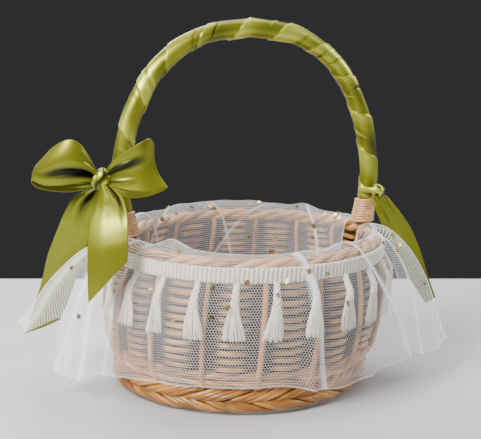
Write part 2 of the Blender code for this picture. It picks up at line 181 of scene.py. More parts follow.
class Finish:
    """A material with a Principled shader and the coordinates that its pattern reads."""

    def __init__(self, name, roughness=0.5, **constants):
        self.material = bpy.data.materials.new(name)
        self.material.use_nodes = True
        self.tree = self.material.node_tree
        self.shader = self.tree.nodes["Principled BSDF"]
        self.shader.inputs["Roughness"].default_value = roughness
        for label, number in constants.items():
            self.shader.inputs[label.replace("_", " ")].default_value = number
        self.coords = node(self.tree, "ShaderNodeTexCoord")

    def made(self, kind, output, settings=None, inputs=None):
        """One output of a new node."""
        return Value(self.tree, node(self.tree, kind, settings, inputs).outputs[output])

    def coordinates(self, source):
        return Value(self.tree, self.coords.outputs[source])

    def place(self, scale, source="Object"):
        inputs = {"Vector": self.coordinates(source), "Scale": scale}
        return self.made("ShaderNodeMapping", "Vector", None, inputs)

    def noise(self, scale, detail=4.0, source="Object", stretch=(1, 1, 1)):
        vector = self.place(tuple(scale * s for s in stretch), source)
        inputs = {"Vector": vector, "Scale": 1.0, "Detail": detail, "Roughness": 0.55}
        return self.made("ShaderNodeTexNoise", "Fac", None, inputs)

    def attribute(self, name):
        return self.made("ShaderNodeAttribute", "Fac", {"attribute_name": name})

    def axes(self, source="UV"):
        split = node(self.tree, "ShaderNodeSeparateXYZ", None, {0: self.coordinates(source)})
        return [Value(self.tree, output) for output in split.outputs]

    def mix(self, factor, first, second):
        return mix_colours(self.tree, factor, first, second)

    def feed(self, label, value):
        plug(self.tree, self.shader.inputs[label], value)

    def paint(self, colour):
        self.feed("Base Color", colour)

    def bump(self, height, strength, distance):
        inputs = {"Height": height, "Strength": strength, "Distance": distance}
        self.feed("Normal", self.made("ShaderNodeBump", "Normal", None, inputs))


def shaded(colour, share):
    return tuple(share * channel for channel in colour)


def willow(name, pale, middle, dark, roughness, knots=0.0):
    """Peeled rods: long streaks along each rod, a tone for each rod, darker knots and scars, and painted
    shade where a rod sinks into the weave.
    """
    finish = Finish(name, roughness, Coat_Weight=0.18, Coat_Roughness=0.3)
    streaks = finish.noise(1.0, 5.0, "UV", (18.0, 5.0, 1.0))
    fine = finish.noise(1.0, 3.0, "UV", (90.0, 14.0, 1.0))
    blotch = finish.noise(38.0, 3.0)
    tone = finish.attribute("tone")
    warm = finish.mix((streaks * 0.6 + tone * 0.55).between(0.25, 0.95), pale, middle)
    aged = finish.mix((blotch + fine * 0.35).between(0.55, 0.98) * 0.75, warm, dark)
    specks = {"Vector": finish.place((120, 120, 120)), "Scale": 1.0}
    spot = 1.0 - finish.made("ShaderNodeTexVoronoi", "Distance", None, specks).between(0.05, 0.22)
    rare = finish.noise(55.0, 2.0).between(0.60 - knots, 0.68)
    marked = finish.mix(spot * rare * 0.85, aged, shaded(dark, 0.35))
    # painted shade: the deeper a point lies in the weave, the closer to dark it is painted
    proud = finish.attribute("crown").between(0.05, 0.85)
    finish.paint(finish.mix(proud, shaded(dark, 0.22), marked))
    finish.feed("Roughness", fine.ranged(0.3, 0.7, roughness - 0.08, roughness + 0.14))
    finish.bump(streaks * 0.5 + fine * 0.5, 0.35, 0.0006)
    return finish.material


def satin(name, deep, body, painted_highlight):
    """Satin ribbon: painted shade in the hollows, a painted highlight on the crowns, fine weft lines across.
    """
    sheen = {"Sheen_Weight": 0.12, "Sheen_Roughness": 0.3}
    finish = Finish(name, 0.32, Metallic=0.6, Anisotropic=0.4, Specular_IOR_Level=0.6, **sheen)
    cloud = finish.noise(1.0, 2.0, "UV", (5.0, 2.5, 1.0))
    weft = finish.noise(1.0, 2.0, "UV", (25.0, 900.0, 1.0))
    crown = finish.attribute("crown")
    # painted light: deep is the painted shade, and the painted highlight, blotched by the cloud, lies on the
    # crowns
    shade = finish.mix(crown.between(0.05, 0.6), deep, body)
    finish.paint(finish.mix((crown * 0.8 + cloud * 0.25).between(0.5, 1.0) * 0.7, shade, painted_highlight))
    finish.feed("Roughness", weft.ranged(0.3, 0.7, 0.33, 0.43))
    finish.bump(weft * 0.5 + cloud * 0.5, 0.10, 0.0004)
    return finish.material


def cotton(name, colour, dark_tone_and_shade):
    """Soft thread: fuzzy, with a tone for each thread and shadow between the ribs."""
    finish = Finish(name, 0.88, Sheen_Weight=0.3, Sheen_Roughness=0.5)
    fibre = finish.noise(1400.0, 3.0)
    soft = finish.noise(160.0, 3.0)
    strand = finish.attribute("tone")
    # darker threads here and there at random
    thread = finish.mix((soft * 0.6 + fibre * 0.4 + strand * 0.25).between(0.35, 0.85), dark_tone_and_shade, colour)
    crown = finish.attribute("crown")
    # painted shade between the ribs
    finish.paint(finish.mix(crown.between(0.1, 0.8), shaded(dark_tone_and_shade, 0.5), thread))
    finish.bump(fibre, 0.4, 0.0003)
    return finish.material


def cane_finish():
    """Split cane: glossy skin with fine streaks along it."""
    finish = Finish("split_cane", 0.36, Coat_Weight=0.3, Coat_Roughness=0.2)
    streaks = finish.noise(1.0, 4.0, "UV", (120.0, 6.0, 1.0))
    blotch = finish.noise(90.0, 3.0)
    base = finish.mix(streaks.between(0.3, 0.75), (0.80, 0.50, 0.26), (0.56, 0.27, 0.10))
    finish.paint(finish.mix(blotch.between(0.5, 0.8) * 0.6, base, (0.34, 0.14, 0.05)))
    finish.bump(streaks, 0.3, 0.0004)
    return finish.material


def wood_finish():
    """Bare bent wood, mottled in two browns."""
    finish = Finish("bent_wood", 0.55)
    grain = finish.noise(60.0, 5.0, "Object", (1, 1, 5))
    finish.paint(finish.mix(grain.between(0.3, 0.7), (0.52, 0.33, 0.17), (0.33, 0.19, 0.09)))
    finish.bump(grain, 0.3, 0.0004)
    return finish.material


def gap_shadow_finish():
    """Painted shadow seen through the gaps between the rods: dark, streaked round the wall."""
    finish = Finish("painted_gap_shadow", 0.8)
    streaks = finish.noise(160.0, 3.0, "Object", (0.3, 0.3, 2.0))
    finish.paint(finish.mix(streaks.between(0.35, 0.7), (0.030, 0.013, 0.008), (0.085, 0.038, 0.020)))
    return finish.material


def net(name):
    """Tulle: hexagonal holes on the cloth's own map, which is in metres, and a painted glow."""
    finish = Finish(name, 0.55, Sheen_Weight=0.2, Sheen_Roughness=0.4, Emission_Strength=0.5)
    u, v, unused = finish.axes("UV")
    tall = 3**0.5
    across = u * (1 / NET_PITCH)
    along = v * (1 / NET_PITCH)

    def out_of_hole(shift_x, shift_y):
        """How far a point is from the middle of its hole, 0.5 at the hole's flat sides."""
        x = ((across + shift_x).maths("FLOORED_MODULO", 1.0) - 0.5).maths("ABSOLUTE")
        y = ((along + shift_y).maths("FLOORED_MODULO", tall) - tall / 2).maths("ABSOLUTE")
        return x.maths("MAXIMUM", x * 0.5 + y * (tall / 2))

    nearest = out_of_hole(0.0, 0.0).maths("MINIMUM", out_of_hole(0.5, tall / 2))
    thread = nearest.between(0.412, 0.452)
    haze = finish.noise(9.0, 2.0)
    finish.paint(finish.mix(haze, (0.90, 0.90, 0.92), (0.99, 0.99, 1.0)))
    edge = finish.attribute("hem")
    gathered = finish.attribute("tone")
    cover = thread * gathered * THREAD_COVER + edge * HEM_COVER
    finish.feed("Alpha", cover.maths("MINIMUM", 0.95))
    # painted glow, as if light shone through the net: more where it stands away from the basket, and at its
    # hems
    painted_glow = (gathered - 0.8) * 0.55 + edge * 0.25
    finish.feed("Emission Color", finish.mix(painted_glow, (0.10, 0.10, 0.10), (1.0, 1.0, 1.0)))
    return finish.material


def gold():
    """Gold foil, a little uneven in tint and shine."""
    finish = Finish("gold_foil", 0.22, Metallic=1.0)
    tint = finish.noise(70.0, 2.0)
    finish.paint(finish.mix(tint.between(0.35, 0.65), (0.62, 0.44, 0.16), (0.90, 0.74, 0.40)))
    finish.feed("Roughness", finish.noise(400.0, 2.0).ranged(0.3, 0.7, 0.16, 0.34))
    return finish.material


# each willow's last colour darkens its blotches and knots and gives the painted shade in the weave
WILLOW = willow("peeled_willow", (0.74, 0.375, 0.11), (0.42, 0.165, 0.034), (0.08, 0.026, 0.006), 0.36, 0.03)
HONEY = willow("honey_willow_rods", (0.72, 0.34, 0.075), (0.36, 0.13, 0.02), (0.08, 0.022, 0.005), 0.30, 0.06)
# the satin's first colour is painted shade, its last a painted highlight
SATIN = satin("olive_satin_ribbon", (0.014, 0.016, 0.0007), (0.23, 0.24, 0.010), (0.82, 0.85, 0.12))
# the cotton's second colour is a darker tone for some threads and the painted shade between the ribs
COTTON = cotton("cream_cotton_thread", (0.97, 0.93, 0.82), (0.76, 0.69, 0.55))
GAP_SHADOW = gap_shadow_finish()
CANE = cane_finish()
WOOD = wood_finish()
GOLD = gold()


# ---------------------------------------------------------------- mesh helpers


def ease(value):
    value = min(max(value, 0.0), 1.0)
    return value * value * (3 - 2 * value)


def polar(radius, angle, height):
    return Vector((radius * cos(angle), radius * sin(angle), height))


def lean(height):
    return LEAN * (min(max(height, LEAN_LOW), LEAN_HIGH) - LEAN_LOW)


def bell(value, centre, width):
    return exp(-(((value - centre) / width) ** 2))


def ring(steps, point):
    """A closed line of point(angle) all the way round."""
    return [point(2 * pi * i / steps) for i in range(steps + 1)]


def front(x, depth, z):
    """A point given across, away from and above the basket as its bow faces."""
    return Matrix.Rotation(FRONT_TURN, 3, "Z") @ Vector((x, depth, z))


def begin():
    """A bmesh with the layers that every piece carries."""
    bm = bmesh.new()
    bm.loops.layers.uv.new("UVMap")
    # crown says how lit a point is painted: low for painted shade, high for a painted highlight
    for layer in ("tone", "crown", "hem"):
        bm.verts.layers.float.new(layer)
    return bm


def patch(bm, columns, rows, shape, **values):
    """A grid of faces whose points are shape(u, v), both from 0 to 1."""
    made = bmesh.ops.create_grid(bm, x_segments=columns, y_segments=rows, size=0.5, calc_uvs=True)["verts"]
    layers = {name: bm.verts.layers.float[name] for name in values}
    for vert in made:
        u, v = vert.co.x + 0.5, vert.co.y + 0.5
        vert.co = shape(u, v)
        for name, value in values.items():
            vert[layers[name]] = value(u, v) if callable(value) else value


def thicken(made, thickness):
    """Gives a sheet its thickness, half on each side."""
    wall = made.modifiers.new("thickness", "SOLIDIFY")
    wall.thickness = thickness
    wall.offset = 0


def piece(name, bm, finish, body=BASKET, replaces=(), closed=True, smooth=60):
    """Makes an object of the bmesh, leaning as the body does, that rides on its body."""
    bmesh.ops.remove_doubles(bm, verts=bm.verts, dist=1e-6)
    for vert in bm.verts:
        vert.co.x += lean(vert.co.z)
    if closed:
        bmesh.ops.recalc_face_normals(bm, faces=bm.faces)
    mesh = bpy.data.meshes.new(name)
    bm.to_mesh(mesh)
    bm.free()
    mesh.materials.append(finish)
    mesh.shade_smooth()
    mesh.set_sharp_from_angle(angle=radians(smooth))
    made = bpy.data.objects.new(name, mesh)
    bpy.context.scene.collection.objects.link(made)
    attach(made, body)
    if replaces:
        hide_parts(*replaces)
    return made


def rod(bm, line, radius, sides=8, tone=0.5, reference=UP, closed=False, flat=1.0, proud=None):
    """A rod along a line of points. Radius is a number or a function of the share along the line,
    flat stretches it along the reference, and proud says how far a point stands out of the weave,
    which sets how much painted shade it gets."""
    count = len(line)
    frames = []
    for i in range(count):
        before = line[i - 1] if i else (line[-2] if closed else line[0])
        after = line[i + 1] if i < count - 1 else (line[1] if closed else line[-1])
        along = (after - before).normalized()
        side = along.cross(reference).normalized()
        frames.append((side, side.cross(along).normalized()))

    def shape(u, v):
        i = round(u * (count - 1))
        side, lift = frames[i]
        thick = radius(u) if callable(radius) else radius
        turn = 2 * pi * v
        return line[i] + thick * (cos(turn) * side + flat * sin(turn) * lift)

    # painted shade by how far the point stands out of the weave, fully lit without a measure
    crown = (lambda u, v: proud(shape(u, v))) if proud else 1.0
    patch(bm, count - 1, sides, shape, tone=tone, crown=crown)


def smooth_line(points, steps):
    """Points read from a Catmull-Rom curve through the given ones."""
    found = []
    last = len(points) - 1
    for i in range(last):
        a, b, c, d = points[max(i - 1, 0)], points[i], points[i + 1], points[min(i + 2, last)]
        bend = 2 * a - 5 * b + 4 * c - d
        twist = 3 * b - a - 3 * c + d
        for k in range(steps):
            t = k / steps
            found.append(0.5 * (2 * b + (c - a) * t + bend * t**2 + twist * t**3))
    return found + [points[-1]]


def rounded(u, soft=0.02):
    """Closes a rod's end into a dome."""
    end = min(u, 1 - u) / soft
    return (1 - (1 - min(end, 1.0)) ** 2) ** 0.5


# ---------------------------------------------------------------- willow


def wall_radius(height):
    t = (height - WALL_LOW) / (WALL_HIGH - WALL_LOW)
    straight = WALL_FOOT_RADIUS + (WALL_RIM_RADIUS - WALL_FOOT_RADIUS) * t
    return straight + WALL_BULGE * 4 * t * (1 - t)


def out_of_wall(point):
    """How far a point of the weave stands out of the middle of the wall, on either side: the measure for its
    painted shade.
    """
    return abs(Vector((point.x, point.y)).length - wall_radius(point.z)) / WEAVE_DEPTH


def out_of_ring(radius, height, reach):
    """Makes a measure of how far a point stands out of a plaited ring, for its painted shade."""
    return lambda p: Vector((Vector((p.x, p.y)).length - radius, p.z - height)).length / reach


def weaver_line(height, chance):
    """A weaver passes inside each outer stake and outside each inner one."""
    phase = chance.uniform(0, 2 * pi)
    wobble = chance.uniform(0.0003, 0.0007)

    def point(angle):
        swing = -cos(STAKES * (angle - pi / STAKES))
        swing = swing * (1.25 - 0.25 * swing * swing)
        z = height + wobble * sin(3 * angle + phase) + 0.0004 * sin(7 * angle + 2 * phase)
        return polar(wall_radius(height) + WEAVER_SWING * swing, angle, z)

    return ring(192, point)


def make_weavers():
    chance = random.Random(11)
    low = WALING_TOP + 0.0003
    pitch = (WALL_HIGH - low) / (WEAVER_ROWS * ROWS_PER_NODE)
    for node_row in range(WEAVER_ROWS):
        bm = begin()
        for part in range(ROWS_PER_NODE):
            height = low + (node_row * ROWS_PER_NODE + part + 0.5) * pitch
            thick = chance.uniform(ROD_THIN, ROD_THICK)
            line = weaver_line(height, chance)
            rod(bm, line, thick, 8, chance.random(), closed=True, proud=out_of_wall)
        name = f"weaver_rods_{node_row + 1}"
        piece(name, bm, WILLOW, replaces=[f"weaver_row_{node_row + 1}"])


def strands(bm, count, radius, height, across, up, turns, thick, chance, steps=260, wobble=0.0):
    """Rods twisted together into a rope that runs round the basket."""
    proud = out_of_ring(radius, height, max(across, up) + thick)
    for k in range(count):
        phase = 2 * pi * k / count

        def point(angle):
            twist = turns * angle + phase
            drift = wobble * sin(5 * angle + phase * 3)
            return polar(radius + across * cos(twist), angle, height + up * sin(twist) + drift)

        uneven = thick * chance.uniform(0.93, 1.06)
        rod(bm, ring(steps, point), uneven, 8, chance.random(), closed=True, proud=proud)


def make_foot_and_waling():
    """The foot is a plait of three bundles; the waling is two rows of twisted rods above it."""
    chance = random.Random(5)
    bm = begin()
    plaits, rods, waves = 3, 4, 6
    reach, between_rods = 0.0098, 0.44
    outside = out_of_ring(FOOT_RADIUS - 0.004, FOOT_HEIGHT / 2, 0.0150)
    for plait in range(plaits):
        for number in range(rods):
            tone, thick = chance.random(), chance.uniform(ROD_THIN, ROD_THICK)

            def point(angle):
                turn = waves * angle + 2 * pi * plait / plaits + between_rods * number
                zigzag = 2 / pi * asin(0.985 * sin(turn))
                radius = FOOT_RADIUS + 0.0008 + 0.0028 * sin(2 * turn) + 0.0016 * cos(turn) * cos(turn)
                return polar(radius, angle, FOOT_HEIGHT / 2 + reach * zigzag)

            rod(bm, ring(384, point), thick, 8, tone, closed=True, proud=outside)
    piece("foot_border_rods", bm, HONEY, replaces=["foot_border"])

    bm = begin()
    for height, turns in zip(WALING_ROWS, (-11, 11)):
        radius = wall_radius(height) + 0.0012
        strands(bm, 3, radius, height, 0.0022, 0.0017, turns, 0.0023, chance)
    piece("waling_rods", bm, WILLOW, replaces=["waling_band"])


def make_gap_shadow_sheet():
    """A dark sheet in the middle of the wall that paints the shadow seen through the gaps between the rods.
    """
    low, high = WALL_LOW + 0.002, WALL_HIGH + 0.002

    def shape(u, v):
        height = low + (high - low) * v
        return polar(wall_radius(min(height, WALL_HIGH)), 2 * pi * u, height)

    bm = begin()
    patch(bm, 96, 20, shape, tone=0.5)
    made = piece("gap_shadow_sheet", bm, GAP_SHADOW, closed=False)
    thicken(made, GAP_SHADOW_THICKNESS)


def make_stakes_and_border():
    """Outer and inner stakes by turns, and the rope border that their ends are turned into."""
    chance = random.Random(7)
    bm = begin()
    for stake in range(2 * STAKES):
        angle = pi * (stake + 1) / STAKES
        offset = STAKE_IN if stake % 2 else STAKE_OUT
        bend = chance.uniform(-0.004, 0.004)
        points = []
        for i in range(9):
            z = STAKE_FOOT + (BORDER_Z - STAKE_FOOT) * i / 8
            swell = ease((z - 0.022) / 0.012) * ease((BORDER_Z + 0.004 - z) / 0.014)
            radius = wall_radius(min(max(z, WALL_LOW), WALL_HIGH)) + offset * swell
            points.append(polar(radius, angle + bend * sin(3 * z / BORDER_Z), z))
        thick = chance.uniform(ROD_THIN, ROD_THICK)
        rod(bm, smooth_line(points, 3), thick, 8, chance.random(), reference=polar(1, angle, 0))
    strands(bm, 3, BORDER_RADIUS, BORDER_Z, 0.0031, 0.0030, 12, 0.0034, chance, 300, 0.0003)
    piece("stake_and_border_rods", bm, WILLOW, replaces=["stakes_and_top_border"])


def make_base():
    """Rings woven over and under the crossed sticks."""
    chance = random.Random(9)
    bm = begin()
    for number in range(BASE_RINGS):
        radius = 0.020 + (BASE_RADIUS - 0.022) * number / (BASE_RINGS - 1)
        waves = 8 if radius < 0.05 else 16
        side = -1 if number % 2 else 1
        line = ring(128, lambda angle: polar(radius, angle, 0.0068 + 0.0012 * (side * cos(waves * angle))))
        rod(bm, line, BASE_ROD, 6, chance.random(), closed=True)
    piece("base_weave_rods", bm, WILLOW, replaces=["base_weave"])

    bm = begin()
    for stick in range(BASE_STICKS):
        angle = pi * (stick + 0.5) / BASE_STICKS
        out = polar(BASE_RADIUS - 0.001, angle, BASE_ROD)
        line = [out.lerp(Vector((-out.x, -out.y, out.z)), i / 12) for i in range(13)]
        rod(bm, line, lambda u: BASE_ROD * rounded(u), 8, chance.random())
    piece("base_stick_rods", bm, WILLOW, replaces=["base_sticks"])


# ---------------------------------------------------------------- handle


def measured_hoop():
    """Points along the hoop from the left foot to the right, each with its distance."""
    half = smooth_line([Vector((x, 0, z)) for x, z in HOOP_LINE], 24)
    line = [Vector((-p.x, 0, p.z)) for p in half] + half[-2::-1]
    distance, found = 0.0, [(0.0, line[0])]
    for before, here in zip(line, line[1:]):
        distance += (here - before).length
        found.append((distance, here))
    return found


HOOP = measured_hoop()
HOOP_LENGTH = HOOP[-1][0]


def hoop_point(t):
    """The hoop's centre line, t from 0 at the left foot to 1 at the right foot."""
    along = min(max(t, 0), 1) * HOOP_LENGTH
    low, high = 0, len(HOOP) - 1
    while high - low > 1:
        middle = (low + high) // 2
        low, high = (middle, high) if HOOP[middle][0] <= along else (low, middle)
    share = (along - HOOP[low][0]) / (HOOP[high][0] - HOOP[low][0])
    return HOOP[low][1].lerp(HOOP[high][1], share)


def leg_point(side, height):
    """The hoop's centre at this height, on its left leg (side -1) or its right leg (side 1)."""
    t = (height - HOOP_LINE[0][1]) / HOOP_LENGTH
    point = hoop_point(t if side < 0 else 1 - t)
    return Vector((point.x, 0, height))


def make_ribbon_wrap():
    """Ribbon wound on the hoop: each long turn overlaps the last in a slanting edge."""
    chance = random.Random(21)
    start = (WRAP_LOW - HOOP_LINE[0][1]) / HOOP_LENGTH
    creases = []
    for turn in range(20):
        for unused in range(4):
            place, width = chance.uniform(0.15, 0.9), chance.uniform(0.018, 0.05)
            facing, sign = chance.uniform(0, 2 * pi), chance.uniform(-1, 1)
            creases.append((turn, place, width, facing, sign))

    def wound(u, v):
        t = start + (1 - 2 * start) * u
        turn = 2 * pi * v
        slant = t * HOOP_LENGTH / WRAP_PITCH + v + 0.05 * sin(turn + 9 * t)
        number = floor(slant)
        share = slant - number
        edge = WRAP_OVERLAP * (1 - share) ** 2 * ease(share / 0.03)
        crease = 0.0
        for owner, place, width, facing, sign in creases:
            if owner == number:
                reach = max(cos(turn - facing), 0) ** 1.5
                crease += sign * 0.00065 * bell(share + 0.05 * sin(turn), place, width) * reach
        return t, turn, edge, crease

    def shape(u, v):
        t, turn, edge, crease = wound(u, v)
        here = hoop_point(t)
        along = (hoop_point(t + 0.01) - hoop_point(t - 0.01)).normalized()
        across = Vector((0, 1, 0))
        lift = along.cross(across).normalized()
        radius = WRAP_RADIUS - 0.0004 + edge + crease
        radius += 0.0003 * sin(2 * turn + 20 * t) + 0.0002 * sin(57 * t)
        radius -= 0.0022 * (1 - ease(min(u, 1 - u) / 0.006))
        return here + radius * (cos(turn) * across + sin(turn) * lift)

    # painted highlight on each overlapping edge, painted shade and highlight along the creases, and broad
    # painted patches of light and shade
    def crown(u, v):
        t, turn, edge, crease = wound(u, v)
        cloud = 0.25 * sin(turn + 40 * t) * sin(23 * t + 1)
        return min(max(0.50 + edge * 300 + crease * 900 + cloud, 0), 1)

    bm = begin()
    patch(bm, 760, 48, shape, crown=crown)
    wrap = piece("ribbon_wound_on_hoop", bm, SATIN, replaces=["handle_ribbon_wrap"])


def make_lappings():
    """Cane wound round each leg of the hoop, flaring where it meets the border."""
    turns, inset = 9, 0.0013
    steps = turns * 20
    for side, word in ((-1, "left"), (1, "right")):
        line = []
        for i in range(steps + 1):
            share = i / steps
            height = LAPPING_LOW + inset + (LAPPING_HIGH - LAPPING_LOW - 2 * inset) * share
            angle = 2 * pi * turns * share
            flare = 0.0012 * (1 - share) ** 2
            reach = (LAPPING_RADIUS - CANE_RADIUS + flare) * (1 + 0.02 * sin(3 * angle))
            line.append(leg_point(side, height) + polar(reach, angle, 0))
        bm = begin()
        rod(bm, line, lambda u: CANE_RADIUS * rounded(u, 0.01), 8, 0.5)
        piece(f"lapping_cane_{word}", bm, CANE, replaces=[f"handle_lapping_{word}"])


# ---------------------------------------------------------------- ribbons


def ribbon(
    name,
    stations,
    replaces,
    folds=2.0,
    depth=0.0016,
    fade=0.2,
    phase=0.0,
    billow=0.05,
    creases=(),
    loop=False,
    rows=110,
):
    """A strip of satin through stations of (one edge, other edge), each (across, away, up) as the
    bow faces, gathered where it leaves the knot. Each crease is (share across, drift, half width,
    depth, where it ends along)."""
    columns = 44
    steps = rows // (len(stations) - 1)
    first = smooth_line([front(*one) for one, other in stations], steps)
    second = smooth_line([front(*other) for one, other in stations], steps)
    last = len(first) - 1

    def hollow(u, v):
        near = min(v, 1 - v) if loop else v
        wave = sin(2 * pi * folds * u + phase + 1.2 * v)
        fine = sin(2 * pi * (2 * folds + 1) * u + 2 * phase)
        value = depth * exp(-near / fade) * (wave + 0.4 * fine)
        for place, drift, width, size, end in creases:
            value += size * bell(u, place + drift * v, width) * (1 - ease(v / end)) * ease(v / 0.06)
        return value

    def shape(u, v):
        row = round(v * last)
        a, b = first[row], second[row]
        ahead = first[min(row + 1, last)].lerp(second[min(row + 1, last)], u)
        behind = first[max(row - 1, 0)].lerp(second[max(row - 1, 0)], u)
        out = (b - a).cross(ahead - behind).normalized()
        wide = min((b - a).length / 0.02, 1.0)
        puff = billow * (b - a).length * sin(pi * u)
        return a.lerp(b, u) + out * (hollow(u, v) * wide - puff)

    # painted shade and highlight that follow the gathers and creases
    def crown(u, v):
        return min(max(0.5 - hollow(u, v) * 190, 0), 1)

    bm = begin()
    patch(bm, columns, last, shape, crown=crown)
    made = piece(name, bm, SATIN, replaces=replaces, closed=False)
    thicken(made, RIBBON_THICKNESS)


def binding(name, body, other, height, half_height):
    """A strip of satin round the handle's leg and the knot beside it."""
    thick, clear = 0.0009, 0.0003
    middle = body.lerp(other, 0.4)
    axis = (other - body).normalized()
    side = axis.cross(UP)
    reach = (middle - body).length + WRAP_RADIUS + clear

    def point(turn):
        here = middle + axis * reach * cos(turn) + side * (WRAP_RADIUS + clear + thick) * sin(turn)
        return Vector((here.x, here.y, height + 0.0008 * sin(2 * turn)))

    bm = begin()
    rod(bm, ring(48, point), thick, 12, 0.5, closed=True, flat=half_height / thick)
    piece(name, bm, SATIN)


def knot(name, replaces, centre, size, tilt):
    """A pulled knot: a puffed band with creases that run round it."""
    turn = Matrix.Rotation(FRONT_TURN, 3, "Z") @ Matrix.Rotation(tilt, 3, "Y")
    wide, deep, tall = size

    def shape(u, v):
        around, rise = 2 * pi * u, pi * (v - 0.5)
        crease = 1 + 0.07 * sin(5 * around + 2 * sin(2 * rise)) * cos(rise) + 0.04 * sin(11 * around)
        waist = 1 + 0.12 * cos(2 * rise)
        x = wide * crease * waist * cos(rise) * cos(around)
        y = deep * crease * cos(rise) * sin(around)
        z = tall * sin(rise) * (1 + 0.06 * cos(3 * around))
        return centre + turn @ Vector((x, y, z))

    # painted shade and highlight in bands round the knot, following its creases
    def crown(u, v):
        return 0.5 + 0.4 * sin(10 * pi * u + 2 * sin(2 * pi * v))

    bm = begin()
    patch(bm, 60, 32, shape, crown=crown)
    piece(name, bm, SATIN, replaces=replaces)


def make_bow():
    centre = front(-0.1330, -0.0552, 0.1976)
    knot("bow_centre_knot", ["bow_knot"], centre, (0.0092, 0.0085, 0.0104), radians(12))
    leg = leg_point(-1, 0.1960)
    binding("bow_binding", leg, Vector((centre.x, centre.y, leg.z)), leg.z, 0.0045)
    ribbon(
        "bow_left_loop",
        (
            ((-0.1349, -0.0562, 0.2041), (-0.1352, -0.0562, 0.1933)),
            ((-0.1424, -0.0662, 0.2216), (-0.1434, -0.0642, 0.1972)),
            ((-0.1500, -0.0722, 0.2329), (-0.1552, -0.0682, 0.1961)),
            ((-0.1604, -0.0722, 0.2355), (-0.1683, -0.0692, 0.1944)),
            ((-0.1739, -0.0662, 0.2278), (-0.1821, -0.0662, 0.1940)),
            ((-0.1840, -0.0562, 0.2176), (-0.1950, -0.0582, 0.1972)),
            ((-0.1810, -0.0482, 0.2174), (-0.1922, -0.0512, 0.1897)),
            ((-0.1691, -0.0442, 0.2151), (-0.1768, -0.0472, 0.1854)),
            ((-0.1530, -0.0452, 0.2079), (-0.1568, -0.0482, 0.1856)),
            ((-0.1364, -0.0522, 0.2026), (-0.1371, -0.0522, 0.1908)),
        ),
        ["bow_loop_left"],
        folds=1.5,
        depth=0.0022,
        fade=0.09,
        phase=0.6,
        billow=0.13,
        creases=((0.74, -0.10, 0.10, 0.0085, 0.60), (0.34, 0.10, 0.05, 0.0020, 0.30)),
        loop=True,
    )
    ribbon(
        "bow_right_loop",
        (
            ((-0.1291, -0.0562, 0.2050), (-0.1294, -0.0562, 0.1942)),
            ((-0.1206, -0.0662, 0.2163), (-0.1196, -0.0642, 0.1918)),
            ((-0.1073, -0.0732, 0.2260), (-0.1076, -0.0692, 0.1900)),
            ((-0.0956, -0.0752, 0.2333), (-0.0950, -0.0712, 0.1894)),
            ((-0.0882, -0.0702, 0.2362), (-0.0820, -0.0682, 0.1898)),
            ((-0.0847, -0.0602, 0.2297), (-0.0727, -0.0622, 0.1915)),
            ((-0.0898, -0.0532, 0.2217), (-0.0803, -0.0562, 0.1860)),
            ((-0.1018, -0.0502, 0.2168), (-0.0950, -0.0532, 0.1809)),
            ((-0.1154, -0.0502, 0.2095), (-0.1113, -0.0522, 0.1808)),
            ((-0.1279, -0.0522, 0.2017), (-0.1273, -0.0522, 0.1890)),
        ),
        ["bow_loop_right"],
        folds=1.5,
        depth=0.0022,
        fade=0.08,
        phase=2.4,
        billow=0.12,
        creases=((0.30, 0.20, 0.10, 0.0050, 0.50), (0.78, -0.05, 0.06, 0.0025, 0.35)),
        loop=True,
    )
    ribbon(
        "bow_front_tail",
        (
            ((-0.1344, -0.0592, 0.1937), (-0.1263, -0.0592, 0.1946)),
            ((-0.1351, -0.0763, 0.1823), (-0.1120, -0.0783, 0.1853)),
            ((-0.1400, -0.0884, 0.1650), (-0.1061, -0.0954, 0.1716)),
            ((-0.1410, -0.0982, 0.1422), (-0.1047, -0.1042, 0.1541)),
            ((-0.1398, -0.1018, 0.1183), (-0.1046, -0.1072, 0.1425)),
            ((-0.1375, -0.1032, 0.0965), (-0.1055, -0.1082, 0.1339)),
        ),
        ["bow_tail_front"],
        folds=1.5,
        depth=0.0018,
        fade=0.16,
        phase=1.0,
        billow=0.06,
        creases=((0.78, 0.25, 0.06, 0.0040, 0.55),),
    )
    ribbon(
        "bow_back_tail",
        (
            ((-0.1419, -0.0442, 0.1877), (-0.1371, -0.0462, 0.1862)),
            ((-0.1593, -0.0443, 0.1803), (-0.1382, -0.0473, 0.1753)),
            ((-0.1692, -0.0424, 0.1652), (-0.1423, -0.0464, 0.1604)),
            ((-0.1756, -0.0392, 0.1515), (-0.1467, -0.0442, 0.1432)),
            ((-0.1871, -0.0269, 0.1244), (-0.1559, -0.0327, 0.1162)),
            ((-0.1959, -0.0100, 0.0885), (-0.1654, -0.0138, 0.0827)),
            ((-0.2108, 0.0054, 0.0366), (-0.1773, 0.0050, 0.0508)),
        ),
        ["bow_tail_back"],
        folds=1.5,
        depth=0.0020,
        fade=0.14,
        phase=2.0,
        billow=0.05,
        creases=((0.55, -0.2, 0.09, 0.0040, 0.40),),
    )


